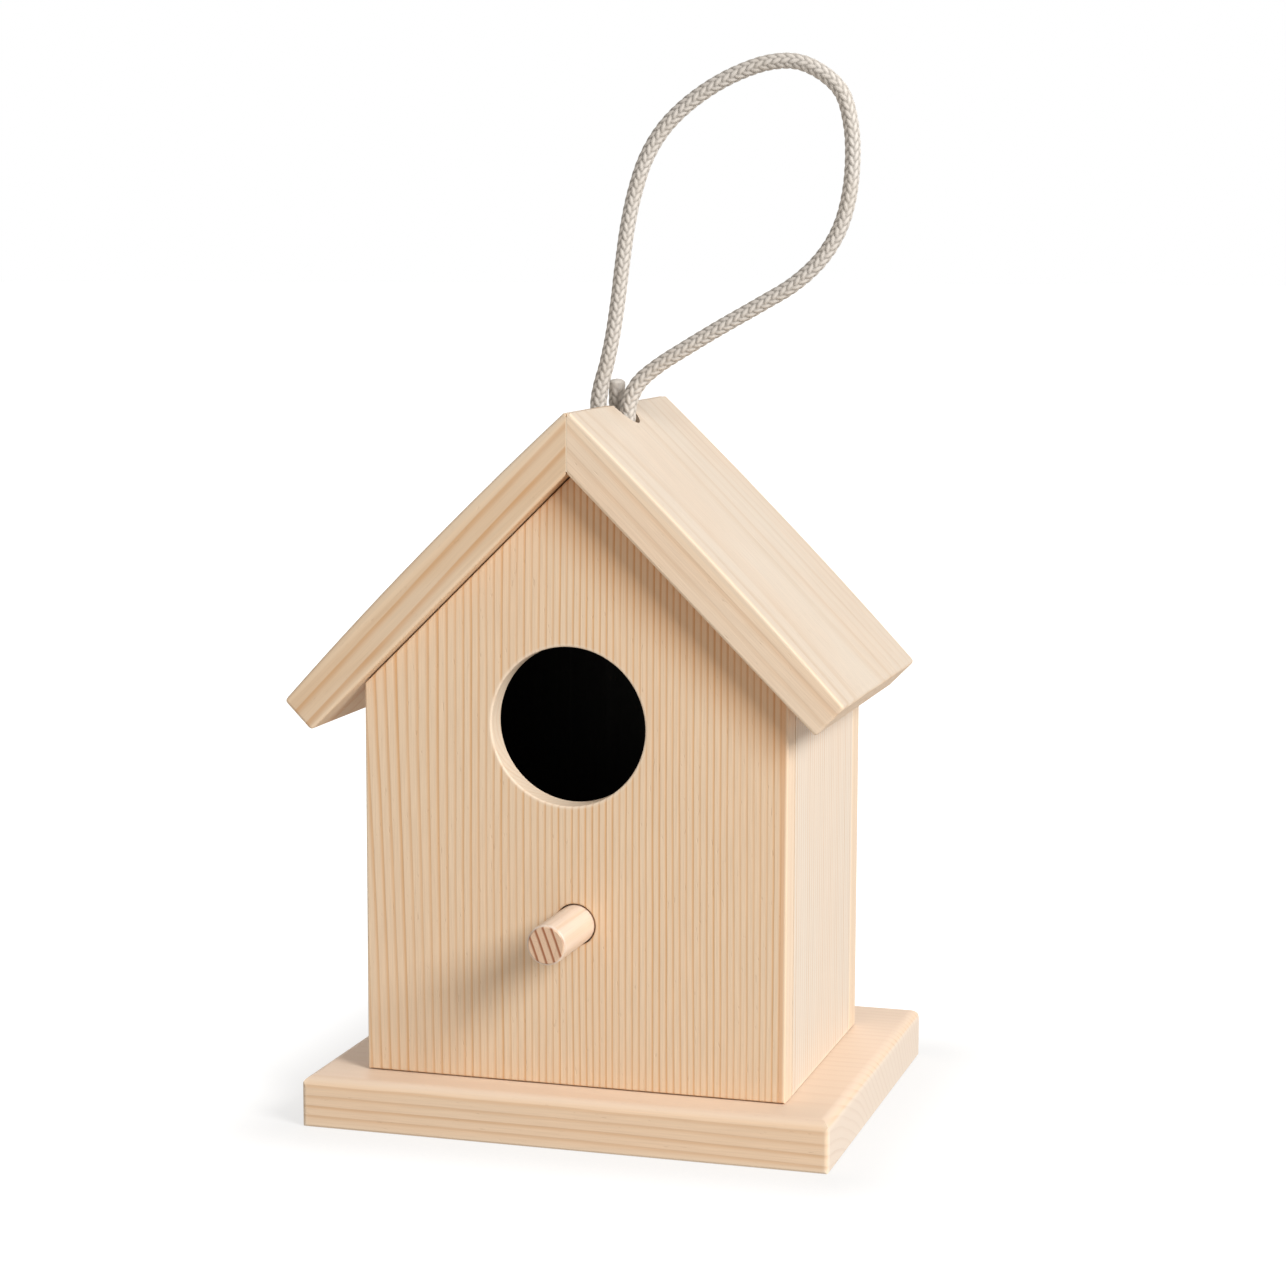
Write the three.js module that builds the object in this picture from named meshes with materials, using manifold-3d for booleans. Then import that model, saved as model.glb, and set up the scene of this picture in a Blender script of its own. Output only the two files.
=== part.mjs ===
// A small softwood birdhouse: a floor board, four wall panels, two mitred roof boards, a dowel
// perch, and a loop of braided cord that passes through the ridge to a stopper knot inside.
// Millimetres, +Z up. The origin is the middle of the floor board's underside; the front is -Y.
import * as THREE from "three";
import { mergeVertices } from "three/addons/utils/BufferGeometryUtils.js";
import Module from "manifold-3d";

const wasm = await Module();
wasm.setup();

// Walls.
const bodyWidth = 88;
const bodyDepth = 64.5;
const wallHeight = 80.6; // of a side wall's outer face, above the floor board
const panelThickness = 6;
const panelEasing = 0.4; // sanded edges of the front and back panels

// Roof. Each board's length is told by how far its underside runs past the wall, down the slope.
const roofAngle = THREE.MathUtils.degToRad(44.5);
const ridgeThickness = 8.9;
const eaveThickness = 8.2;
const leftEave = 14.3;
const rightEave = 8.7;
const leftCrown = 1.0; // rise of the outer face above a straight line from ridge to eave
const rightCrown = 0.7;
const roofFrontOverhang = 4;
const roofRearOverhang = 0;
const ridgeFlat = 0.7; // half width of the flat planed along the ridge
const roofEdgeRadius = 0.9; // of the two long edges at each eave
const roofEndEasing = 0.6; // round the front and rear ends

// Floor board.
const baseThickness = 10.5;
const baseSideMargin = 11;
const baseFrontMargin = 9;
const baseRearMargin = 17;
const baseTopRadius = 2.3;
const baseBottomRadius = 0.6;
const baseCornerRadius = 1;

// Entrance and perch. Heights are above the floor board, offsets from the house's middle.
const entranceDiameter = 32;
const entranceHeight = 73.3;
const entranceOffset = -1;
const perchDiameter = 8;
const perchHeight = 33.3;
const perchOffset = 0.5;
const perchReach = 18.5;
const perchChamfer = 0.5;

// Cord.
const cordDiameter = 3.2;
const cordHoleDiameter = 10.4;
const cordHoleOffset = -0.55;
const tailRise = 5.2; // of the sealed end, above the ridge
const tailOffset = new THREE.Vector2(-0.8, 2.4); // of the sealed end, from the cord hole's axis
const knotDiameter = 11;
const knotHeight = 8;
const knotRounding = 2.5;

// Brads that hold the floor board to the side panels.
const nailDiameter = 1.6;
const nailHeadDiameter = 2.8;
const nailHeadThickness = 0.6;
const nailLength = 24;
const nailPoint = 2;
const nailSink = 0.5; // depth of the head below the floor board's underside
const nailInset = 16; // of each brad, from the nearer end of its side panel

// Clearances.
const glueGap = 0.2; // between boards that stand flat on each other
const cutGap = 0.3; // between faces cut to meet each other at an angle, and round a loose pin
const dowelGap = 0.25; // round the perch, on the radius

// The frame that the sizes above give.
const halfWidth = bodyWidth / 2;
const slope = Math.tan(roofAngle);
const baseWidth = bodyWidth + 2 * baseSideMargin;
const baseDepth = bodyDepth + baseFrontMargin + baseRearMargin;
const frontY = baseFrontMargin - baseDepth / 2;
const rearY = frontY + bodyDepth;
const wallFoot = baseThickness + glueGap;
const ridgeInside = baseThickness + wallHeight + halfWidth * slope;
const ridgeOutside = ridgeInside + ridgeThickness / Math.cos(roofAngle);
const roofFrontY = frontY - roofFrontOverhang;
const roofRearY = rearY + roofRearOverhang;
const cordY = (roofFrontY + roofRearY) / 2;

// The height at which a wall's top meets the roof's underside, with its clearance.
const underRoof = (x) => ridgeInside - Math.abs(x) * slope - cutGap / Math.cos(roofAngle);

const softwood = (colour, roughness = 0.62) =>
  new THREE.MeshStandardMaterial({ color: colour, roughness, metalness: 0 });
const finishes = {
  panel: softwood(0xddbfa0),
  sidePanel: softwood(0xe8cdb0),
  roof: softwood(0xeddcc6),
  base: softwood(0xe6cbaa),
  dowel: softwood(0xecd0ac, 0.55),
  cord: new THREE.MeshStandardMaterial({ color: 0xcfc6bb, roughness: 0.7, metalness: 0 }),
  steel: new THREE.MeshStandardMaterial({ color: 0xb9bbbd, roughness: 0.35, metalness: 1 }),
};

const birdhouse = new THREE.Group();

function addPiece(name, geometry, finish) {
  const mesh = new THREE.Mesh(geometry, finish.clone());
  mesh.name = name;
  birdhouse.add(mesh);
  return mesh;
}

function toSolid(geometry) {
  const bare = geometry.clone();
  bare.deleteAttribute("normal");
  bare.deleteAttribute("uv");
  const merged = mergeVertices(bare, 1e-4);
  return new wasm.Manifold(
    new wasm.Mesh({
      numProp: 3,
      vertProperties: merged.attributes.position.array,
      triVerts: new Uint32Array(merged.index.array),
    }),
  );
}

function toGeometry(solid) {
  const { vertProperties, triVerts } = solid.getMesh();
  const geometry = new THREE.BufferGeometry();
  geometry.setAttribute("position", new THREE.BufferAttribute(vertProperties, 3));
  geometry.setIndex(new THREE.BufferAttribute(triVerts, 1));
  geometry.computeVertexNormals();
  return geometry;
}

// An outline drawn in X and Z, run from one Y to another, with its two ends eased.
function runAlongY(outline, fromY, toY, easing = 0) {
  const geometry = new THREE.ExtrudeGeometry(outline, {
    depth: toY - fromY - 2 * easing,
    curveSegments: 52,
    bevelEnabled: easing > 0,
    bevelThickness: easing,
    bevelSize: easing,
    bevelOffset: -easing,
    bevelSegments: 3,
  });
  geometry.rotateX(Math.PI / 2);
  return geometry.translate(0, toY - easing, 0);
}

function roundedRectangle(width, height, lowRadius, highRadius) {
  const x = width / 2;
  const y = height / 2;
  const shape = new THREE.Shape();
  shape.moveTo(-x + lowRadius, -y);
  shape.lineTo(x - lowRadius, -y);
  shape.absarc(x - lowRadius, -y + lowRadius, lowRadius, -Math.PI / 2, 0);
  shape.lineTo(x, y - highRadius);
  shape.absarc(x - highRadius, y - highRadius, highRadius, 0, Math.PI / 2);
  shape.lineTo(-x + highRadius, y);
  shape.absarc(-x + highRadius, y - highRadius, highRadius, Math.PI / 2, Math.PI);
  shape.lineTo(-x, -y + lowRadius);
  shape.absarc(-x + lowRadius, -y + lowRadius, lowRadius, Math.PI, 1.5 * Math.PI);
  return shape;
}

function uprightCylinder(radius, fromZ, toZ, sides) {
  const geometry = new THREE.CylinderGeometry(radius, radius, toZ - fromZ, sides);
  geometry.rotateX(Math.PI / 2);
  return geometry.translate(0, 0, (fromZ + toZ) / 2);
}

// Four brads, two up into each side panel, with the bores that take them.
const nailX = halfWidth - panelThickness / 2;
const nailY = [
  frontY + panelThickness + nailInset,
  rearY - panelThickness - nailInset,
];
const nailPlaces = nailY.flatMap((y) => [
  [-nailX, y],
  [nailX, y],
]);

function nailBores(solid) {
  const shank = nailDiameter / 2 + cutGap;
  const head = nailHeadDiameter / 2 + cutGap;
  const headTop = nailSink + nailHeadThickness + cutGap;
  let drilled = solid;
  for (const [x, y] of nailPlaces) {
    const shankBore = uprightCylinder(shank, -1, nailSink + nailLength + cutGap, 12);
    const headBore = uprightCylinder(head, -1, headTop, 12);
    drilled = drilled.subtract(toSolid(shankBore.translate(x, y, 0)));
    drilled = drilled.subtract(toSolid(headBore.translate(x, y, 0)));
  }
  return drilled;
}

nailPlaces.forEach(([x, y], index) => {
  const shank = nailDiameter / 2;
  const profile = [
    new THREE.Vector2(0, 0),
    new THREE.Vector2(nailHeadDiameter / 2, 0),
    new THREE.Vector2(nailHeadDiameter / 2, nailHeadThickness),
    new THREE.Vector2(shank, nailHeadThickness),
    new THREE.Vector2(shank, nailLength - nailPoint),
    new THREE.Vector2(0, nailLength),
  ];
  const geometry = new THREE.LatheGeometry(profile, 12).rotateX(Math.PI / 2);
  const nail = addPiece(`base_nail_${index + 1}`, geometry, finishes.steel);
  nail.position.set(x, y, nailSink);
});

// The floor board: long edges and ends rounded on top, only broken underneath.
function baseBoard() {
  const side = roundedRectangle(baseDepth, baseThickness, baseBottomRadius, baseTopRadius);
  const end = roundedRectangle(baseWidth, baseThickness, baseBottomRadius, baseTopRadius);
  const plan = roundedRectangle(baseWidth, baseDepth, baseCornerRadius, baseCornerRadius);
  const extrude = (shape, depth) =>
    new THREE.ExtrudeGeometry(shape, { depth, bevelEnabled: false, curveSegments: 9 });
  const acrossX = extrude(side, baseWidth + 2)
    .translate(0, 0, -baseWidth / 2 - 1)
    .rotateX(Math.PI / 2)
    .rotateZ(Math.PI / 2);
  const acrossY = extrude(end, baseDepth + 2)
    .translate(0, 0, -baseDepth / 2 - 1)
    .rotateX(Math.PI / 2);
  const upright = extrude(plan, baseThickness + 2).translate(0, 0, -baseThickness / 2 - 1);
  const block = toSolid(acrossX).intersect(toSolid(acrossY)).intersect(toSolid(upright));
  return toGeometry(nailBores(block.translate(0, 0, baseThickness / 2)));
}
addPiece("base_board", baseBoard(), finishes.base);

// Front and back panels: pentagons as wide as the house, their tops cut to the roof's slopes.
function gableOutline() {
  const shape = new THREE.Shape();
  shape.moveTo(-halfWidth, wallFoot);
  shape.lineTo(halfWidth, wallFoot);
  shape.lineTo(halfWidth, underRoof(halfWidth));
  shape.lineTo(0, underRoof(0));
  shape.lineTo(-halfWidth, underRoof(halfWidth));
  shape.closePath();
  return shape;
}

function roundHole(x, z, radius) {
  return new THREE.Path().absarc(x, z, radius, 0, 2 * Math.PI, true);
}

const perchZ = baseThickness + perchHeight;
const frontOutline = gableOutline();
frontOutline.holes.push(
  roundHole(entranceOffset, baseThickness + entranceHeight, entranceDiameter / 2),
  roundHole(perchOffset, perchZ, perchDiameter / 2 + dowelGap),
);
const frontPanel = runAlongY(frontOutline, frontY, frontY + panelThickness, panelEasing);
addPiece("front_panel", frontPanel, finishes.panel);
const backPanel = runAlongY(gableOutline(), rearY - panelThickness, rearY, panelEasing);
addPiece("back_panel", backPanel, finishes.panel);

// Side panels: stood between front and back, flush with their ends.
for (const [name, side] of [
  ["left_side_panel", -1],
  ["right_side_panel", 1],
]) {
  const inner = halfWidth - panelThickness;
  const shape = new THREE.Shape();
  shape.moveTo(side * inner, wallFoot);
  shape.lineTo(side * halfWidth, wallFoot);
  shape.lineTo(side * halfWidth, underRoof(halfWidth));
  shape.lineTo(side * inner, underRoof(inner));
  shape.closePath();
  const fromY = frontY + panelThickness + glueGap;
  const toY = rearY - panelThickness - glueGap;
  const panel = nailBores(toSolid(runAlongY(shape, fromY, toY)));
  addPiece(name, toGeometry(panel), finishes.sidePanel);
}

// The roof: one chevron section, its outer faces slightly crowned, parted at the ridge.
function roofSection() {
  const along = new THREE.Vector2(Math.cos(roofAngle), -Math.sin(roofAngle));
  const out = new THREE.Vector2(Math.sin(roofAngle), Math.cos(roofAngle));
  const peak = new THREE.Vector2(ridgeFlat, ridgeOutside - ridgeFlat * slope);
  const toEave = halfWidth / Math.cos(roofAngle);
  // The outline of one slope, from its peak down and back to the underside, as right-hand points.
  const slopeEnd = (eave, crown) => {
    const low = new THREE.Vector2(0, ridgeInside).addScaledVector(along, toEave + eave);
    const high = low.clone().addScaledVector(out, eaveThickness);
    const crownAt = peak.clone().lerp(high, 0.5).addScaledVector(out, 2 * crown);
    const towardPeak = crownAt.clone().sub(high).normalize();
    return {
      crownAt,
      beforeHigh: high.clone().addScaledVector(towardPeak, roofEdgeRadius),
      high,
      afterHigh: high.clone().addScaledVector(out, -roofEdgeRadius),
      beforeLow: low.clone().addScaledVector(out, roofEdgeRadius),
      low,
      afterLow: low.clone().addScaledVector(along, -roofEdgeRadius),
    };
  };
  const right = slopeEnd(rightEave, rightCrown);
  const left = slopeEnd(leftEave, leftCrown);
  const shape = new THREE.Shape();
  shape.moveTo(0, ridgeInside);
  shape.lineTo(right.afterLow.x, right.afterLow.y);
  shape.quadraticCurveTo(right.low.x, right.low.y, right.beforeLow.x, right.beforeLow.y);
  shape.lineTo(right.afterHigh.x, right.afterHigh.y);
  shape.quadraticCurveTo(right.high.x, right.high.y, right.beforeHigh.x, right.beforeHigh.y);
  shape.quadraticCurveTo(right.crownAt.x, right.crownAt.y, peak.x, peak.y);
  shape.lineTo(-peak.x, peak.y);
  shape.quadraticCurveTo(-left.crownAt.x, left.crownAt.y, -left.beforeHigh.x, left.beforeHigh.y);
  shape.quadraticCurveTo(-left.high.x, left.high.y, -left.afterHigh.x, left.afterHigh.y);
  shape.lineTo(-left.beforeLow.x, left.beforeLow.y);
  shape.quadraticCurveTo(-left.low.x, left.low.y, -left.afterLow.x, left.afterLow.y);
  shape.closePath();
  return shape;
}

const roofGeometry = new THREE.ExtrudeGeometry(roofSection(), {
  depth: roofRearY - roofFrontY - 2 * roofEndEasing,
  curveSegments: 14,
  bevelThickness: roofEndEasing,
  bevelSize: roofEndEasing,
  bevelOffset: -roofEndEasing,
  bevelSegments: 3,
});
roofGeometry.rotateX(Math.PI / 2).translate(0, roofRearY - roofEndEasing, 0);
const cordHole = uprightCylinder(cordHoleDiameter / 2, 0, ridgeOutside + 1, 40);
const roof = toSolid(roofGeometry).subtract(
  toSolid(cordHole.translate(cordHoleOffset, cordY, 0)),
);
for (const [name, side] of [
  ["left_roof_board", -1],
  ["right_roof_board", 1],
]) {
  const reach = 2 * bodyWidth;
  const half = new THREE.BoxGeometry(reach, 2 * reach, 4 * reach);
  half.translate(side * (reach + cutGap) / 2, 0, 0);
  addPiece(name, toGeometry(roof.intersect(toSolid(half))), finishes.roof);
}

// The perch: a dowel through the front panel, flush with its inner face.
const perchLength = perchReach + panelThickness;
const perchProfile = [
  new THREE.Vector2(0, 0),
  new THREE.Vector2(perchDiameter / 2 - perchChamfer, 0),
  new THREE.Vector2(perchDiameter / 2, perchChamfer),
  new THREE.Vector2(perchDiameter / 2, perchLength - perchChamfer),
  new THREE.Vector2(perchDiameter / 2 - perchChamfer, perchLength),
  new THREE.Vector2(0, perchLength),
];
const perch = addPiece("perch_dowel", new THREE.LatheGeometry(perchProfile, 60), finishes.dowel);
perch.position.set(perchOffset, frontY - perchReach, perchZ);

// The cord: up through the ridge, round the loop, and back down to the knot. X and Z of each
// point are from the cord hole's axis and from the origin; the loop stands in one plane.
const knotTop = underRoof(knotDiameter / 2);
const cordPlane = cordY - 1.2;
const cordRoute = [
  [-2.6, knotTop + cutGap],
  [-2.8, 133.5],
  [-3.1, 138],
  [-3.5, 142.3],
  [-3.7, 146],
  [-3.1, 150],
  [-1.9, 154.5],
  [-0.7, 160],
  [0.4, 167],
  [1.4, 175],
  [2.5, 182.5],
  [4, 189.2],
  [6.2, 195.6],
  [9.4, 201],
  [13.6, 205.4],
  [19.4, 209.6],
  [25.6, 212.7],
  [32, 214.6],
  [37.6, 214.6],
  [42.7, 212.3],
  [46.5, 208.6],
  [48.4, 202.6],
  [48.9, 195.6],
  [48.2, 188],
  [46.3, 181.6],
  [42.8, 176],
  [37.4, 171],
  [30.4, 166.8],
  [22.4, 162.3],
  [14.8, 157.8],
  [8.8, 154],
  [4.9, 150.6],
  [2.9, 146.6],
  [2.5, 142],
  [2.5, 137],
  [2.5, knotTop + cutGap],
];
function roundSection(diameter, sides) {
  const shape = new THREE.Shape();
  const points = Array.from({ length: sides }, (_, i) => (2 * Math.PI * i) / sides);
  shape.setFromPoints(
    points.map((a) => new THREE.Vector2(Math.cos(a), Math.sin(a)).multiplyScalar(diameter / 2)),
  );
  return shape;
}
const cordPath = new THREE.CatmullRomCurve3(
  cordRoute.map(([x, z]) => new THREE.Vector3(x, cordPlane, z)),
);
const cordGeometry = new THREE.ExtrudeGeometry(roundSection(cordDiameter, 8), {
  steps: 56,
  extrudePath: cordPath,
});
addPiece("hanging_cord", cordGeometry, finishes.cord);

// The cord's sealed end, left standing between the strands, and the stopper knot inside.
const tailTop = ridgeOutside - ridgeFlat * slope + tailRise;
const tailProfile = [
  new THREE.Vector2(0, knotTop + cutGap),
  new THREE.Vector2(cordDiameter / 2, knotTop + cutGap),
  new THREE.Vector2(cordDiameter / 2, tailTop - cordDiameter / 4),
  new THREE.Vector2(cordDiameter / 3, tailTop - cordDiameter / 12),
  new THREE.Vector2(0, tailTop),
];
const tailGeometry = new THREE.LatheGeometry(tailProfile, 12).rotateX(Math.PI / 2);
const tail = addPiece("cord_tail", tailGeometry, finishes.cord);
tail.position.set(tailOffset.x, cordY + tailOffset.y, 0);

const knotOutline = new THREE.Path();
const knotRadius = knotDiameter / 2;
knotOutline.moveTo(0, 0);
knotOutline.lineTo(knotRadius - knotRounding, 0);
knotOutline.quadraticCurveTo(knotRadius, 0, knotRadius, knotRounding);
knotOutline.lineTo(knotRadius, knotHeight - knotRounding);
knotOutline.quadraticCurveTo(knotRadius, knotHeight, knotRadius - knotRounding, knotHeight);
knotOutline.lineTo(0, knotHeight);
const knotGeometry = new THREE.LatheGeometry(knotOutline.getPoints(4), 24).rotateX(Math.PI / 2);
const knot = addPiece("cord_knot", knotGeometry, finishes.cord);
knot.position.set(0, cordY, knotTop - knotHeight);

export default birdhouse;
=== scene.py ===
# A small pine birdhouse with a mitred roof, a dowel perch and a braided cord to hang it by.
import math

import bpy
import numpy as np
from mathutils import Matrix, Vector


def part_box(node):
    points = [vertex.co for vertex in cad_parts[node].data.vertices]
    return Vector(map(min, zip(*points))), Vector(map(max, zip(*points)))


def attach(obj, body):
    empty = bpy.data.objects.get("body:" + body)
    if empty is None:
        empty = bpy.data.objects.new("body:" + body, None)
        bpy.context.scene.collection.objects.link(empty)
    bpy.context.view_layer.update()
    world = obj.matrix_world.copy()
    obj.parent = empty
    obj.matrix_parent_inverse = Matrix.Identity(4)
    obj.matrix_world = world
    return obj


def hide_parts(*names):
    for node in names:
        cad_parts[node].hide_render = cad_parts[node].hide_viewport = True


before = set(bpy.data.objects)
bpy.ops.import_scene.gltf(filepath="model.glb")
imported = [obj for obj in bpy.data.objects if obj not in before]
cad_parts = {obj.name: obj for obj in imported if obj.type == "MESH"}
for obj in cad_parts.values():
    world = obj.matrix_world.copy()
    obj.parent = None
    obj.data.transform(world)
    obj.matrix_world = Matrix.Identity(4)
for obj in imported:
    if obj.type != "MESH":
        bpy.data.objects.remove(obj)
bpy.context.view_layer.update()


# ---------------------------------------------------------------------------
# Camera. It stands in front of the house and to its right, a little above
# the perch, and looks slightly down at it through a long lens.
camera_place = Vector((0.177845, -0.592287, 0.179423))
camera_turn = math.radians(16.368)
camera_dip = math.radians(7.682)
camera_roll = math.radians(0.193)

looking = Vector((
    -math.sin(camera_turn) * math.cos(camera_dip),
    math.cos(camera_turn) * math.cos(camera_dip),
    -math.sin(camera_dip),
))
level = Vector((math.cos(camera_turn), math.sin(camera_turn), 0))
overhead = level.cross(looking)
to_right = level * math.cos(camera_roll) + overhead * math.sin(camera_roll)
to_top = overhead * math.cos(camera_roll) - level * math.sin(camera_roll)

camera_data = bpy.data.cameras.new("camera")
camera_data.lens = 83.53
camera_data.sensor_width = 36
camera_data.clip_end = 50
camera = bpy.data.objects.new("camera", camera_data)
facing = Matrix((to_right, to_top, -looking)).transposed().to_4x4()
camera.matrix_world = Matrix.Translation(camera_place) @ facing
bpy.context.collection.objects.link(camera)
bpy.context.scene.camera = camera


# ---------------------------------------------------------------------------
# Base board. A flat piece of planed pine with its top edges rounded over and
# its sawn ends left open. The house stands on it, glued and nailed.
class Reading:
    """One value that a finish reads, which takes part in sums."""

    def __init__(self, tree, socket):
        self.tree = tree
        self.socket = socket

    def reckon(self, operation, *terms):
        entries = dict(enumerate(terms))
        return add_node(self.tree, "ShaderNodeMath", {"operation": operation}, entries)

    def __add__(self, other):
        return self.reckon("ADD", self, other)

    def __radd__(self, other):
        return self.reckon("ADD", other, self)

    def __sub__(self, other):
        return self.reckon("SUBTRACT", self, other)

    def __rsub__(self, other):
        return self.reckon("SUBTRACT", other, self)

    def __mul__(self, other):
        return self.reckon("MULTIPLY", self, other)

    def __rmul__(self, other):
        return self.reckon("MULTIPLY", other, self)

    def __truediv__(self, other):
        return self.reckon("DIVIDE", self, other)

    def __rtruediv__(self, other):
        return self.reckon("DIVIDE", other, self)

    def __pow__(self, other):
        return self.reckon("POWER", self, other)

    def __rpow__(self, other):
        return self.reckon("POWER", other, self)

    def __abs__(self):
        return self.reckon("ABSOLUTE", self)


def feed(tree, entry, value):
    """Links a reading to a node's entry, or sets the entry to a plain value."""
    if isinstance(value, Reading):
        tree.links.new(value.socket, entry)
    else:
        entry.default_value = value


def add_node(tree, kind, settings, entries, give=0):
    """Adds a node, with its settings first and then its entries, and gives one output."""
    node = tree.nodes.new(kind)
    for setting, value in settings.items():
        setattr(node, setting, value)
    for entry, value in entries.items():
        feed(tree, node.inputs[entry], value)
    return Reading(tree, node.outputs[give])


class Finish:
    """A material of one Principled shader, and the nodes that feed it."""

    def __init__(self, name):
        self.material = bpy.data.materials.new(name)
        self.material.use_nodes = True
        self.tree = self.material.node_tree
        self.shader = self.tree.nodes["Principled BSDF"]

    def node(self, kind, settings, entries, give=0):
        return add_node(self.tree, kind, settings, entries, give)

    def place(self):
        """The point on the piece, in millimetres of the house's own frame."""
        spot = self.node("ShaderNodeTexCoord", {}, {}, "Object")
        return self.node(
            "ShaderNodeVectorMath",
            {"operation": "SCALE"},
            {"Vector": spot, "Scale": 1000},
        )

    def along(self, spot, way):
        """How far a point lies along a direction."""
        return self.node(
            "ShaderNodeVectorMath",
            {"operation": "DOT_PRODUCT"},
            {0: spot, 1: way},
            "Value",
        )

    def point(self, x, y, z):
        return self.node("ShaderNodeCombineXYZ", {}, {"X": x, "Y": y, "Z": z})

    def whole(self, value):
        """The whole number at or below a value."""
        return self.node("ShaderNodeMath", {"operation": "FLOOR"}, {0: value})

    def noise(self, spot, scale, detail, roughness=0.5):
        return self.node(
            "ShaderNodeTexNoise",
            {"noise_dimensions": "3D"},
            {"Vector": spot, "Scale": scale, "Detail": detail, "Roughness": roughness},
        )

    def step(self, value, start, end, low=0.0, high=1.0):
        """Goes smoothly from low to high as the value goes from start to end."""
        return self.node(
            "ShaderNodeMapRange",
            {"interpolation_type": "SMOOTHSTEP"},
            {"Value": value, "From Min": start, "From Max": end, "To Min": low, "To Max": high},
        )

    def blend(self, share, first, second, blend="MIX"):
        """Mixes two colours."""
        colours = [c if isinstance(c, Reading) else (*c, 1) for c in (first, second)]
        return self.node(
            "ShaderNodeMix",
            {"data_type": "RGBA", "blend_type": blend, "clamp_factor": True},
            {0: share, 6: colours[0], 7: colours[1]},
            2,
        )

    def relief(self, height, depth, strength):
        """Turns a height into a bump of a depth in metres, and feeds the shader's normal."""
        bump = self.node(
            "ShaderNodeBump",
            {},
            {"Strength": strength, "Distance": depth, "Height": height},
        )
        feed(self.tree, self.shader.inputs["Normal"], bump)

    def surface(self, **entries):
        for entry, value in entries.items():
            feed(self.tree, self.shader.inputs[entry.replace("_", " ")], value)


def srgb(red, green, blue):
    """A colour from 0 to 255 values, as linear light."""
    parts = [v / 255 for v in (red, green, blue)]
    return tuple(v / 12.92 if v < 0.04045 else ((v + 0.055) / 1.055) ** 2.4 for v in parts)


def sawn_pine(
    name,
    grain,
    flat,
    deep,
    pith,
    spacing,
    pale,
    honey,
    strength=1.0,
    waviness=1.0,
    lean=0.0,
    swing=None,
    even=0.35,
    fibre=1.0,
    roughness=0.6,
):
    """Pine cut from a log: rings about a pith, in a frame of grain, flat and deep directions."""
    wood = Finish(name)
    spot = wood.place()
    length = wood.along(spot, grain)
    across = wood.along(spot, flat) - pith[0]
    inward = wood.along(spot, deep) - pith[1]

    def streaks(across_scale, along_scale, detail, roughness=0.5):
        """Noise that is drawn out along the grain."""
        stretched = wood.point(across * across_scale, inward * across_scale, length * along_scale)
        return wood.noise(stretched, 1.0, detail, roughness)

    drift = (streaks(0.03, 0.006, 1.0) - 0.5) * (5 * waviness)
    ripple = (streaks(0.12, 0.022, 2.0) - 0.5) * (0.9 * waviness)
    radius = (across * across + inward * inward) ** 0.5 + drift + ripple + length * lean
    if swing:
        swing_start, swing_end, swing_rate = swing
        radius = radius + length * wood.step(across, swing_start, swing_end, swing_rate, 0.0)
    count = radius / spacing
    ring = wood.whole(count)
    part = count - ring

    # The dark late wood ends each ring, and no two rings are equally dark.
    draw = wood.node("ShaderNodeTexWhiteNoise", {"noise_dimensions": "1D"}, {"W": ring})
    late = wood.step(part, 0.48, 0.86) * wood.step(part, 0.90, 1.0, 1.0, 0.0)
    wood.late = late * (even + (1 - even) * draw)

    hairs = streaks(3.2, 0.09, 3.0, 0.65)
    patches = wood.step(streaks(0.07, 0.02, 2.0), 0.35, 0.7, 0.0, 0.28)
    flecks = wood.step(streaks(2.0, 0.45, 1.0), 0.70, 0.80)

    warmed = tuple(v * w for v, w in zip(pale, (1.02, 0.93, 0.86)))
    body = wood.blend(wood.late * strength, pale, honey)
    body = wood.blend(patches, body, warmed)
    shade = 1.0 + (hairs - 0.5) * (0.24 * fibre)
    tone = wood.node("ShaderNodeCombineColor", {}, {0: shade, 1: shade, 2: shade})
    body = wood.blend(1.0, body, tone, "MULTIPLY")
    body = wood.blend(flecks * (0.12 * fibre), body, tuple(v * 0.72 for v in honey))

    wood.surface(Roughness=roughness - 0.08 * wood.late + (hairs - 0.5) * 0.16)
    wood.relief(hairs * 0.5 - wood.late * 0.5 - flecks * 0.6, 0.0001, 0.55)
    return wood, spot, body


def box_mm(node):
    """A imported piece's lowest and highest corners, in millimetres."""
    low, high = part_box(node)
    return low * 1000, high * 1000


def edge_wear_and_highlight(wood, spot, low, high, width, axes=(0, 1, 2)):
    """Is 1 on the arrises of a box, where handling has paled and polished them, and where a paler
    line is painted as a highlight.
    """
    ways = ((1, 0, 0), (0, 1, 0), (0, 0, 1))
    near = []
    for axis in axes:
        reach = wood.along(spot, ways[axis])
        middle = (low[axis] + high[axis]) / 2
        half = (high[axis] - low[axis]) / 2
        near.append(wood.step(half - abs(reach - middle), 0.0, width, 1.0, 0.0))
    wear_and_highlight = near[0] * near[1]
    if len(near) == 3:
        wear_and_highlight = wear_and_highlight + near[1] * near[2] + near[0] * near[2]
    return wear_and_highlight


def dress(node, finish):
    """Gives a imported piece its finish."""
    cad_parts[node].material_slots[0].material = finish.material


# Sizes that a finish reads are in millimetres, and a mesh is in metres.
base_arris = 1.6
base_top_skin = (0.2, 1.6)
base_end_skin = (0.05, 0.4)

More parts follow.
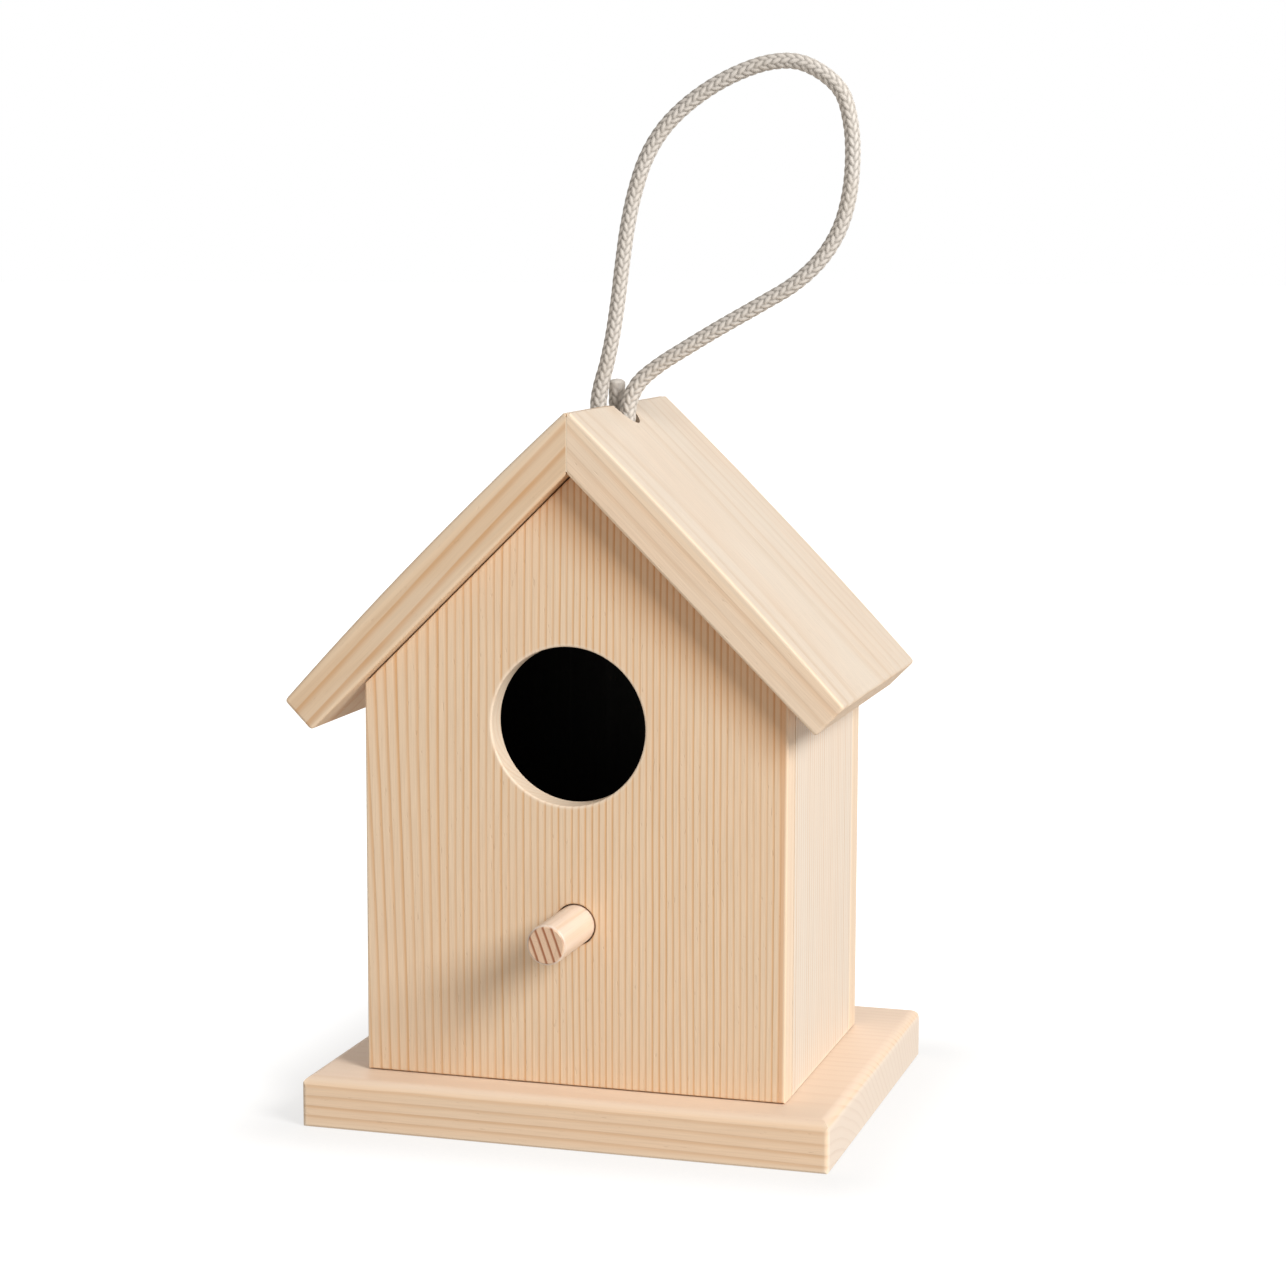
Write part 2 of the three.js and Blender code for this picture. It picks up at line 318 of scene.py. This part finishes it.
base_low, base_high = box_mm("base_board")
base_wood, spot, body = sawn_pine(
    "base_pine",
    grain=(1, 0.012, 0.004),
    flat=(0, 0.96, 0.28),
    deep=(0, -0.28, 0.96),
    pith=(-62, -34),
    spacing=2.1,
    pale=srgb(239, 211, 181),
    honey=srgb(208, 162, 115),
    strength=0.65,
    even=0.5,
)
from_top = base_high.z - base_wood.along(spot, (0, 0, 1))
top = base_wood.step(from_top, *base_top_skin, 1.0, 0.0)
body = base_wood.blend(top * 0.7, body, srgb(231, 211, 193))
from_end = base_high.x - abs(base_wood.along(spot, (1, 0, 0)))
sawn_end = base_wood.step(from_end, *base_end_skin, 1.0, 0.0)
body = base_wood.blend(sawn_end * 0.66, body, srgb(232, 223, 214))
wear_and_highlight = edge_wear_and_highlight(base_wood, spot, base_low, base_high, base_arris)
base_colour = base_wood.blend(wear_and_highlight * 0.4, body, srgb(243, 225, 202))
dress("base_board", base_wood)


# ---------------------------------------------------------------------------
# Side panels. Two plain upright boards of pale pine, grain upright, glued
# between the front and the back and nailed through the base board.
roof_pitch = math.radians(44.5)
glue_joint = 0.2
cut_joint = 0.3
side_arris = 0.9
# Painted shade inside the nest room: its colour, and how far into each face the painted shade
# reaches.
nest_shade_colour = srgb(7, 3, 2)
side_shade_depth = (0.0, 0.05)
panel_shade_depth = (0.05, 0.15)
floor_shade_depth = (0.02, 0.1)
roof_shade_depth = (0.4, 0.6)

side_low, side_high = box_mm("right_side_panel")
room_side = side_low.x
room_front = side_low.y - glue_joint
room_back = side_high.y + glue_joint
room_floor = base_high.z
room_slope = math.tan(roof_pitch)
room_peak = side_high.z + room_side * room_slope + cut_joint / math.cos(roof_pitch)


def paint_nest_shade(finish, spot, colour):
    """Paints shade, near black, on what faces the nest room and no deeper, so that the house is
    dark inside.
    """
    sideways = abs(finish.along(spot, (1, 0, 0)))
    depth = finish.along(spot, (0, 1, 0))
    height = finish.along(spot, (0, 0, 1))
    roof_line = height + sideways * room_slope
    dark = finish.step(sideways - room_side, *side_shade_depth, 1.0, 0.0)
    dark = dark * finish.step(room_front - depth, *panel_shade_depth, 1.0, 0.0)
    dark = dark * finish.step(depth - room_back, *panel_shade_depth, 1.0, 0.0)
    dark = dark * finish.step(room_floor - height, *floor_shade_depth, 1.0, 0.0)
    dark = dark * finish.step(roof_line - room_peak, *roof_shade_depth, 1.0, 0.0)
    return finish.blend(dark, colour, nest_shade_colour)


base_wood.surface(Base_Color=paint_nest_shade(base_wood, base_wood.place(), base_colour))

for side, pith in (("left", (-96, -30)), ("right", (-88, 20))):
    side_wood, spot, body = sawn_pine(
        side + "_side_pine",
        grain=(0.004, 0.006, 1),
        flat=(0, 1, 0),
        deep=(1, 0, 0),
        pith=pith,
        spacing=1.7,
        pale=srgb(230, 217, 202),
        honey=srgb(214, 182, 150),
        strength=0.9,
        roughness=0.58,
    )
    node = side + "_side_panel"
    wear_and_highlight = edge_wear_and_highlight(side_wood, spot, *box_mm(node), side_arris)
    body = side_wood.blend(wear_and_highlight * 0.5, body, srgb(246, 229, 206))
    side_wood.surface(Base_Color=paint_nest_shade(side_wood, spot, body))
    dress(node, side_wood)


# ---------------------------------------------------------------------------
# Front panel. One board sawn beside the heart of the log, so that its upright
# grain runs close at the right and wider at the left, with the bored entrance.
panel_arris = 0.7
hole_radius = 16.0
hole_x = -1.0
hole_z = base_high.z + 73.3
bore_lip = (0.05, 0.9)
eave_shade_reach = (4.0, 16.0)
eave_shade_skin = (0.1, 0.5)
flank_skin = (0.1, 0.6)
band_inner_edge = (1.1, 1.8)
band_outer_edge = (0.3, 0.8)


def sawn_flank(wood, spot, half_width, body):
    """Pales the two sawn edges of a gable panel, which show at the house's corners."""
    from_edge = half_width - abs(wood.along(spot, (1, 0, 0)))
    flank = wood.step(from_edge, *flank_skin, 1.0, 0.0)
    return wood.blend(flank * 0.65, body, srgb(236, 216, 194))


front_low, front_high = box_mm("front_panel")
front_wood, spot, body = sawn_pine(
    "front_pine",
    grain=(0, 0, 1),
    flat=(1, 0, 0),
    deep=(0, 1, 0),
    pith=(-75, 11),
    spacing=1.22,
    pale=srgb(236, 210, 180),
    honey=srgb(216, 163, 106),
    strength=0.85,
    waviness=0.45,
    swing=(28, 52, 0.018),
    even=0.55,
    fibre=1.2,
)
sideways = front_wood.along(spot, (1, 0, 0))
rise = front_wood.along(spot, (0, 0, 1))

# Painted shade: a darker, warmer colour on the face alone, close under the right slope, that
# deepens the eave's shade.
below_roof = (room_peak - rise - sideways * room_slope) * math.cos(roof_pitch)
behind_face = front_wood.along(spot, (0, 1, 0)) - front_low.y
on_face = front_wood.step(behind_face, *eave_shade_skin, 1.0, 0.0)
painted_eave_shade = front_wood.step(below_roof, *eave_shade_reach, 0.45, 0.0) * on_face
body = front_wood.blend(painted_eave_shade, body, srgb(212, 158, 104))
body = front_wood.blend(painted_eave_shade * front_wood.late, body, srgb(190, 118, 60))

body = sawn_flank(front_wood, spot, front_high.x, body)
from_corner = front_high.x - sideways
right_band = front_wood.step(from_corner, *band_inner_edge, 1.0, 0.0)
right_band = right_band * front_wood.step(from_corner, *band_outer_edge)
body = front_wood.blend(right_band * 0.45, body, srgb(220, 160, 106))
wear_and_highlight = edge_wear_and_highlight(front_wood, spot, front_low, front_high, panel_arris, (0, 1))
body = front_wood.blend(wear_and_highlight * 0.65, body, srgb(245, 222, 192))
hole_reach = ((sideways - hole_x) ** 2 + (rise - hole_z) ** 2) ** 0.5
bore = front_wood.step(hole_reach - hole_radius, *bore_lip, 1.0, 0.0)
body = front_wood.blend(bore * 0.6, body, srgb(244, 228, 208))
front_wood.surface(Base_Color=paint_nest_shade(front_wood, spot, body))
dress("front_panel", front_wood)


# ---------------------------------------------------------------------------
# Back panel. The same gable as the front, without a hole, from a flat-sawn
# board, where the grain runs up it in wide tapering arches.
back_low, back_high = box_mm("back_panel")
back_wood, spot, body = sawn_pine(
    "back_pine",
    grain=(0.02, 0.05, 1),
    flat=(1, 0, 0),
    deep=(0, 1, 0),
    pith=(9, -14),
    spacing=2.3,
    pale=srgb(231, 206, 177),
    honey=srgb(205, 160, 114),
    strength=0.8,
)
body = sawn_flank(back_wood, spot, back_high.x, body)
wear_and_highlight = edge_wear_and_highlight(back_wood, spot, back_low, back_high, panel_arris, (0, 1))
body = back_wood.blend(wear_and_highlight * 0.6, body, srgb(245, 222, 192))
back_wood.surface(Base_Color=paint_nest_shade(back_wood, spot, body))
dress("back_panel", back_wood)


# ---------------------------------------------------------------------------
# Base nails. Four round wire nails of bright drawn steel, driven up through
# the base board into the foot of the side panels and set just below its face.
nail_count = 4
nail_steel = Finish("nail_steel")
spot = nail_steel.place()
stretched = nail_steel.point(
    nail_steel.along(spot, (9, 0, 0)),
    nail_steel.along(spot, (0, 9, 0)),
    nail_steel.along(spot, (0, 0, 0.6)),
)
drawn = nail_steel.noise(stretched, 1.0, 3.0)
tarnish = nail_steel.step(nail_steel.noise(spot, 0.9, 3.0), 0.45, 0.75)
nail_steel.surface(
    Base_Color=nail_steel.blend(tarnish, (0.56, 0.55, 0.53), (0.33, 0.30, 0.27)),
    Metallic=1.0,
    Roughness=0.28 + drawn * 0.12 + tarnish * 0.2,
)
nail_steel.relief(drawn, 0.00005, 0.5)
for number in range(nail_count):
    dress(f"base_nail_{number + 1}", nail_steel)


# ---------------------------------------------------------------------------
# Roof boards. Two planed boards mitred at the ridge and glued down on the
# gables, their grain running from ridge to eave and their arrises eased.
roof_looks = {
    "left": {
        "pith": (-41, 60),
        "spacing": 3.4,
        "pale": srgb(225, 197, 165),
        "honey": srgb(207, 155, 100),
        "strength": 1.0,
        "lean": 0.022,
    },
    "right": {
        "pith": (-16, 62),
        "spacing": 2.6,
        "pale": srgb(236, 212, 186),
        "honey": srgb(216, 180, 142),
        "strength": 0.5,
        "lean": 0.008,
        "fibre": 1.5,
    },
}
roof_underside = room_peak * math.cos(roof_pitch)
end_fade = (0.1, 1.5)
low_arris = (0.2, 1.0)
high_arris = (6.6, 7.6)
top_face = (7.7, 8.15)
for side, hand in (("left", -1), ("right", 1)):
    down = (hand * math.cos(roof_pitch), 0, -math.sin(roof_pitch))
    out = (hand * math.sin(roof_pitch), 0, math.cos(roof_pitch))
    roof_wood, spot, body = sawn_pine(
        side + "_roof_pine",
        grain=down,
        flat=(0, 1, 0),
        deep=out,
        waviness=0.5,
        roughness=0.58,
        **roof_looks[side],
    )
    node = side + "_roof_board"
    low, high = box_mm(node)
    within = roof_wood.along(spot, out) - roof_underside
    length = roof_wood.along(spot, down)
    depth = roof_wood.along(spot, (0, 1, 0))

    # Painted highlight: both ends are paler along the top and bottom arris.
    ends = roof_wood.step(depth - low.y, *end_fade, 1.0, 0.0)
    ends = ends + roof_wood.step(high.y - depth, *end_fade, 1.0, 0.0)
    skin = roof_wood.step(within, *low_arris, 1.0, 0.0) + roof_wood.step(within, *high_arris)
    body = roof_wood.blend(ends * skin * 0.5, body, srgb(244, 221, 192))

    patch_spot = roof_wood.point(
        depth * 0.05, (within + roof_underside) * 0.2, length * 0.03
    )
    cream = roof_wood.step(roof_wood.noise(patch_spot, 1.0, 2.0), 0.4, 0.65, 0.0, 0.22)
    body = roof_wood.blend(cream, body, srgb(240, 224, 203))
    # Painted light: the top faces are made cooler and a little darker, to take back the warmth of
    # the key lamp on them.
    top = roof_wood.step(within, *top_face) * (1 - ends * 0.7)
    body = roof_wood.blend(top, body, (0.84, 0.91, 1.0), "MULTIPLY")
    roof_wood.surface(Base_Color=paint_nest_shade(roof_wood, spot, body))
    dress(node, roof_wood)


# ---------------------------------------------------------------------------
# Ridge glue. The thin film of wood glue that closes the mitre between the two
# roof boards. It dries to a pale line, and stops either side of the cord's hole.
glue_half = 0.000145
glue_foot = 0.13475
glue_top = 0.14602
glue_crown = 0.0001
glue_easing = 0.0007
glue_shy = 0.00003
glue_hole = 0.0055
glue_rows = 48
glue_section = 5

glue_finish = Finish("dried_wood_glue")
beads = glue_finish.noise(glue_finish.place(), 1.6, 2.0)
glue_finish.surface(
    Base_Color=glue_finish.blend(beads, srgb(226, 204, 176), srgb(242, 226, 203)),
    Roughness=0.4 + beads * 0.3,
)
glue_finish.relief(beads, 0.0001, 0.5)

roof_low, roof_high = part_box("left_roof_board")
ridge_front = roof_low.y
ridge_back = roof_high.y
ridge_middle = (ridge_front + ridge_back) / 2
for name, start, end in (
    ("front_ridge_glue", ridge_front + glue_shy, ridge_middle - glue_hole),
    ("rear_ridge_glue", ridge_middle + glue_hole, ridge_back - glue_shy),
):
    verts = []
    for row in range(glue_rows + 1):
        y = start + (end - start) * row / glue_rows
        settle = 0.00008 * math.sin(row * 1.7) + 0.00005 * math.sin(row * 4.1)
        inside_edge = glue_foot + settle
        eased = max(0, glue_easing - min(y - ridge_front, ridge_back - y))
        outside_edge = glue_top + settle * 0.6 - eased
        verts += [
            (-glue_half, y, inside_edge),
            (glue_half, y, inside_edge),
            (glue_half, y, outside_edge - glue_crown),
            (0, y, outside_edge),
            (-glue_half, y, outside_edge - glue_crown),
        ]
    last_row = glue_rows * glue_section
    faces = [
        tuple(range(glue_section)),
        tuple(last_row + k for k in reversed(range(glue_section))),
    ]
    for here in range(0, last_row, glue_section):
        for k in range(glue_section):
            beside = (k + 1) % glue_section
            faces.append((
                here + glue_section + k,
                here + glue_section + beside,
                here + beside,
                here + k,
            ))
    glue_mesh = bpy.data.meshes.new(name)
    glue_mesh.from_pydata(verts, [], faces)
    glue_mesh.materials.append(glue_finish.material)
    glue = bpy.data.objects.new(name, glue_mesh)
    bpy.context.collection.objects.link(glue)
    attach(glue, "root")


# ---------------------------------------------------------------------------
# Perch. A pale pine dowel with a small chamfer, glued into a bore through the
# front panel below the entrance; its sawn end shows the rings it was cut across.
tip_skin = (0.05, 0.35)
perch_tip = box_mm("perch_dowel")[0].y
perch_wood, spot, body = sawn_pine(
    "perch_pine",
    grain=(0, 1, 0),
    flat=(0.94, 0, -0.34),
    deep=(0.34, 0, 0.94),
    pith=(-36, 36),
    spacing=1.75,
    pale=srgb(234, 216, 200),
    honey=srgb(222, 192, 160),
    strength=0.55,
    waviness=0.15,
    roughness=0.5,
)
from_tip = perch_wood.along(spot, (0, 1, 0)) - perch_tip
tip = perch_wood.step(from_tip, *tip_skin, 1.0, 0.0)
arc_x = perch_wood.along(spot, (0.94, 0, 0.34)) + 22
arc_z = perch_wood.along(spot, (-0.34, 0, 0.94)) - 41
arc = (arc_x * arc_x + arc_z * arc_z * 0.35) ** 0.5 / 1.6
part = arc - perch_wood.whole(arc)
dark_ring = perch_wood.step(part, 0.45, 0.72) * perch_wood.step(part, 0.8, 0.95, 1.0, 0.0)
end_grain = perch_wood.blend(dark_ring, srgb(228, 194, 164), srgb(164, 104, 70))
pores = perch_wood.step(perch_wood.noise(spot, 5.0, 2.0), 0.5, 0.75, 0.0, 0.35)
end_grain = perch_wood.blend(pores, end_grain, srgb(180, 136, 108))
perch_wood.surface(Base_Color=perch_wood.blend(tip, body, end_grain))
dress("perch_dowel", perch_wood)


# ---------------------------------------------------------------------------
# Hanging cord. A stiff braid of grey-white polyester, fed down through the
# hole in the ridge, knotted under the roof, and standing in one open loop.
cord_width = 0.0032
cord_depth = -0.0072
cord_turns = [
    (-0.0026, 0.12881), (-0.0028, 0.1335), (-0.0031, 0.138), (-0.0035, 0.1423),
    (-0.0037, 0.146), (-0.0031, 0.150), (-0.0019, 0.1545), (-0.0007, 0.160),
    (0.0004, 0.167), (0.0014, 0.175), (0.0025, 0.1825), (0.004, 0.1892),
    (0.0062, 0.1956), (0.0094, 0.201), (0.0136, 0.2054), (0.0194, 0.2096),
    (0.0256, 0.2127), (0.032, 0.2146), (0.0376, 0.2146), (0.0427, 0.2123),
    (0.0465, 0.2086), (0.0484, 0.2026), (0.0489, 0.1956), (0.0482, 0.188),
    (0.0463, 0.1816), (0.0428, 0.176), (0.0374, 0.171), (0.0304, 0.1668),
    (0.0224, 0.1623), (0.0148, 0.1578), (0.0088, 0.154), (0.0049, 0.1506),
    (0.0029, 0.1466), (0.0025, 0.142), (0.0025, 0.137), (0.0025, 0.12881),
]
strand_count = 8
strand_pitch = 0.0018
strand_lean = math.radians(28)
strand_long = 0.0012
strand_wide = 0.00053
groove_depth = 0.00024

cord_finish = Finish("braided_polyester")
lay = cord_finish.node("ShaderNodeAttribute", {"attribute_name": "lay"}, {}, "Color")
crown = cord_finish.node("ShaderNodeSeparateColor", {}, {0: lay}, 0)
across = cord_finish.node("ShaderNodeSeparateColor", {}, {0: lay}, 1)
spot = cord_finish.place()
soil = cord_finish.noise(spot, 0.12, 2.0)
fluff = cord_finish.noise(spot, 4.5, 2.0)
threads = cord_finish.noise(cord_finish.point(across * 9, fluff * 1.2, soil * 4), 1.0, 1.0)
# The grooves between the strands are darker, painted shade with some dirt, and the crown of each
# strand is paler, a painted highlight.
raised = cord_finish.step(crown, 0.05, 0.75)
painted_crown_highlight = cord_finish.step(crown, 0.7, 1.0) * 0.6
fuzzy = cord_finish.step(threads, 0.45, 0.7, 0.0, 0.25)
soiled = cord_finish.step(soil, 0.4, 0.7, 0.0, 0.2)
colour = cord_finish.blend(raised, srgb(172, 167, 160), srgb(209, 203, 197))
colour = cord_finish.blend(painted_crown_highlight, colour, srgb(238, 233, 226))
colour = cord_finish.blend(fuzzy, colour, srgb(178, 167, 154))
colour = cord_finish.blend(soiled, colour, srgb(196, 186, 172))
cord_finish.surface(Base_Color=colour, Roughness=0.42 + threads * 0.2)
cord_finish.relief(threads, 0.00008, 0.6)


def run_along(points):
    """How far along a line each of its points lies."""
    steps = np.linalg.norm(np.diff(points, axis=0), axis=1)
    return np.concatenate(([0], np.cumsum(steps)))


def smooth_line(points, gap):
    """An even run of points on the smooth curve through a route, and the curve's length."""
    pieces_each = 40
    points = np.array(points)
    before = 2 * points[0] - points[1]
    after = 2 * points[-1] - points[-2]
    padded = np.vstack((before, points, after))
    fine = []
    for a, b, c, d in zip(padded, padded[1:], padded[2:], padded[3:]):
        first, middle, last = (np.linalg.norm(q - p) ** 0.5 for p, q in ((a, b), (b, c), (c, d)))
        leaving = (b - a) / first - (c - a) / (first + middle) + (c - b) / middle
        coming = (c - b) / middle - (d - b) / (middle + last) + (d - c) / last
        leaving = leaving * middle
        coming = coming * middle
        t = np.linspace(0, 1, pieces_each, endpoint=False)[:, None]
        bend = 2 * b - 2 * c + leaving + coming
        turn = -3 * b + 3 * c - 2 * leaving - coming
        fine.append(b + leaving * t + turn * t ** 2 + bend * t ** 3)
    fine = np.vstack(fine + [points[-1:]])
    run = run_along(fine)
    stops = np.linspace(0, run[-1], int(round(run[-1] / gap)) + 1)
    even = np.column_stack([np.interp(stops, run, fine[:, axis]) for axis in range(3)])
    return even, run[-1]


def cross_frames(line):
    """Two directions square to the line at each point, carried along it without a twist."""
    tangent = np.gradient(line, axis=0)
    tangent /= np.linalg.norm(tangent, axis=1)[:, None]
    side = np.cross(tangent[0], (0.0, 1.0, 0.0))
    frames = []
    for way in tangent:
        side = side - way * side.dot(way)
        side /= np.linalg.norm(side)
        frames.append((side, np.cross(way, side)))
    return np.array(frames)


def strands(run, sides):
    """The height of the strands round and along a cord, and the place across each strand."""
    lane = np.arange(sides) / sides * strand_count
    lane_width = math.pi * cord_width / strand_count
    height = np.zeros((len(run), sides))
    across = np.zeros_like(height)
    for shift in (-1, 0, 1):
        column = np.floor(lane + 0.5) + shift
        off = (lane - column) * lane_width
        odd = np.mod(column, 2)
        lean = np.where(odd > 0, strand_lean, -strand_lean)
        for hop in (-1, 0, 1):
            cell = np.floor(run[:, None] / strand_pitch - odd / 2 + 0.5) + hop
            up = run[:, None] - (cell + odd / 2) * strand_pitch
            with_strand = (up * np.cos(lean) + off * np.sin(lean)) / strand_long
            over_strand = (-up * np.sin(lean) + off * np.cos(lean)) / strand_wide
            bulge = np.sqrt(np.clip(1 - with_strand ** 2 - over_strand ** 2, 0, None))
            across = np.where(bulge > height, over_strand, across)
            height = np.maximum(height, bulge)
    return height, across


def braid(name, node, line, sides, melted=0.0, swell=1.0):
    """A braided round cord about a line, its far end melted into a dome over a length."""
    run = run_along(line)
    height, across = strands(run, sides)
    radius = (cord_width / 2 - groove_depth * (1 - height)) * np.reshape(swell, (-1, 1))
    if melted:
        dome_length = melted * 0.4
        left = run[-1] - run
        fade = np.clip((left - melted * 0.35) / melted, 0, 1)[:, None]
        dome = np.sqrt(np.clip(1 - ((dome_length - left) / dome_length) ** 2, 0, 1))
        smooth = cord_width / 2 * swell * np.where(left < dome_length, dome, 1.0)
        radius = radius * fade + smooth[:, None] * (1 - fade) * 0.98
        height = height * fade + 0.8 * (1 - fade)

    turn = 2 * math.pi * np.arange(sides) / sides
    frames = cross_frames(line)
    around = frames[:, None, 0] * np.cos(turn)[None, :, None]
    around = around + frames[:, None, 1] * np.sin(turn)[None, :, None]
    skin = line[:, None] + around * radius[:, :, None]
    last_row = (len(line) - 1) * sides
    starts = np.arange(0, last_row, sides)[:, None]
    here = starts + np.arange(sides)
    beside = starts + (np.arange(sides) + 1) % sides
    quads = np.stack((here, beside, beside + sides, here + sides), axis=-1).reshape(-1, 4)
    ends = [tuple(range(sides))[::-1], tuple(last_row + k for k in range(sides))]

    mesh = bpy.data.meshes.new(name)
    mesh.from_pydata(skin.reshape(-1, 3).tolist(), [], quads.tolist() + ends)
    mesh.polygons.foreach_set("use_smooth", [True] * len(mesh.polygons))
    mesh.materials.append(cord_finish.material)
    lay = mesh.attributes.new("lay", "FLOAT_COLOR", "POINT")
    values = np.stack((height, across * 0.5 + 0.5, height * 0, height * 0 + 1), axis=-1)
    lay.data.foreach_set("color", values.ravel())
    piece = bpy.data.objects.new(name, mesh)
    bpy.context.collection.objects.link(piece)
    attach(piece, "root")
    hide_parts(node)
    return piece


# The two legs of the loop swell a little where they crowd into the hole.
swell_start = 0.154
swell_length = 0.006
route = [(x, cord_depth, z) for x, z in cord_turns]
line, cord_length = smooth_line(route, 0.00015)
squeezed = np.clip((swell_start - line[:, 2]) / swell_length, 0, 1)
hanging_cord = braid("braided_loop", "hanging_cord", line, 48, swell=1 + 0.1 * squeezed)

tail_low, tail_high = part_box("cord_tail")
tail_middle = (tail_low + tail_high) / 2
tail_route = [
    (tail_middle.x, tail_middle.y, z) for z in (tail_low.z, tail_middle.z, tail_high.z - 0.00002)
]
tail_line = smooth_line(tail_route, 0.00012)[0]
cord_tail = braid("melted_cord_end", "cord_tail", tail_line, 40, melted=0.0024, swell=1.1)

# The knot is an open trefoil, with its two ends apart.
knot_low, knot_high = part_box("cord_knot")
knot_middle = (knot_low + knot_high) / 2
knot_wide = 0.0013
knot_tall = 0.0023
knot_steps = 60
knot_opening = 0.12
knot_points = []
for number in range(knot_steps + 1):
    t = -math.pi / 6 + knot_opening + (2 * math.pi - 2 * knot_opening) * number / knot_steps
    knot_points.append((
        knot_middle.x + knot_wide * (math.sin(t) + 2 * math.sin(2 * t)),
        knot_middle.y + knot_wide * (math.cos(t) - 2 * math.cos(2 * t)),
        knot_middle.z - knot_tall * math.sin(3 * t),
    ))
knot_line = smooth_line(knot_points, 0.0003)[0]
cord_knot = braid("overhand_knot", "cord_knot", knot_line, 32)


# ---------------------------------------------------------------------------
# Studio. A pale seamless paper floor, an even white surround, one big soft lamp
# from the front and the right, and a weak one from behind.
floor_rings = [0.0, 0.12, 0.2, 0.3, 0.5, 1.0, 3.0, 12.0]
floor_sides = 96
shade_reach = 42
lamp_range = 1.6
house_middle = Vector((0, 0, 0.08))

floor_verts = [(0, 0, 0)]
floor_faces = []
for ring, reach in enumerate(floor_rings[1:]):
    for number in range(floor_sides):
        turn = 2 * math.pi * number / floor_sides
        floor_verts.append((reach * math.cos(turn), reach * math.sin(turn), 0))
        following = (number + 1) % floor_sides
        start = 1 + ring * floor_sides
        if ring == 0:
            floor_faces.append((0, start + number, start + following))
        else:
            inner = start - floor_sides
            floor_faces.append(
                (inner + number, start + number, start + following, inner + following)
            )
floor_mesh = bpy.data.meshes.new("studio_floor")
floor_mesh.from_pydata(floor_verts, [], floor_faces)
studio_floor = bpy.data.objects.new("studio_floor", floor_mesh)
bpy.context.collection.objects.link(studio_floor)
floor_finish = Finish("studio_paper")
spot = floor_finish.place()
# Painted shade: the floor glows white away from the base and dimmer close to it, as shade round
# the house's foot.
outside = []
for way, edge in (((1, 0, 0), base_high.x), ((0, 1, 0), base_high.y)):
    past = abs(floor_finish.along(spot, way)) - edge
    outside.append(floor_finish.node("ShaderNodeMath", {"operation": "MAXIMUM"}, {0: past, 1: 0}))
from_base = (outside[0] * outside[0] + outside[1] * outside[1]) ** 0.5
far = floor_finish.step(from_base, 0, shade_reach)
floor_finish.surface(
    Base_Color=(0.24, 0.24, 0.24, 1),
    Roughness=0.9,
    Emission_Color=floor_finish.blend(far, (0.68, 0.68, 0.68), (1.0, 1.0, 1.0)),
    Emission_Strength=1.0,
)
floor_mesh.materials.append(floor_finish.material)
studio_floor.visible_diffuse = False
studio_floor.visible_glossy = False

room_light = bpy.data.worlds.new("studio")
bpy.context.scene.world = room_light
room_light.use_nodes = True
sky = room_light.node_tree
backdrop = sky.nodes["Background"]
seen = add_node(sky, "ShaderNodeLightPath", {}, {}, "Is Camera Ray")
compass = add_node(sky, "ShaderNodeTexCoord", {}, {}, "Generated")
height = add_node(sky, "ShaderNodeSeparateXYZ", {}, {0: compass}, 2)
upward = add_node(sky, "ShaderNodeMath", {"operation": "TANH"}, {0: height * 4})
glow = 0.51 - 0.12 * upward
tint = add_node(
    sky,
    "ShaderNodeMix",
    {"data_type": "RGBA"},
    {0: seen, 6: (1.0, 0.955, 0.9, 1), 7: (1, 1, 1, 1)},
    2,
)
feed(sky, backdrop.inputs["Color"], tint)
feed(sky, backdrop.inputs["Strength"], seen * (1 - glow) + glow)

for name, way, size, strength, colour in (
    ("key_lamp", (0.745, -0.43, 0.51), 0.72, 0.98, (1.0, 0.985, 0.965)),
    ("rear_lamp", (-0.25, 0.96, 0.06), 1.2, 0.28, (1.0, 0.97, 0.94)),
):
    way = Vector(way).normalized()
    lamp_data = bpy.data.lights.new(name, "AREA")
    lamp_data.shape = "DISK"
    lamp_data.size = size
    lamp_data.color = colour
    lamp_data.energy = strength * math.pi ** 2 * lamp_range ** 2
    lamp = bpy.data.objects.new(name, lamp_data)
    lamp.location = house_middle + way * lamp_range
    lamp.rotation_euler = (-way).to_track_quat("-Z", "Y").to_euler()
    bpy.context.collection.objects.link(lamp)

bpy.context.scene.view_settings.view_transform = "Standard"
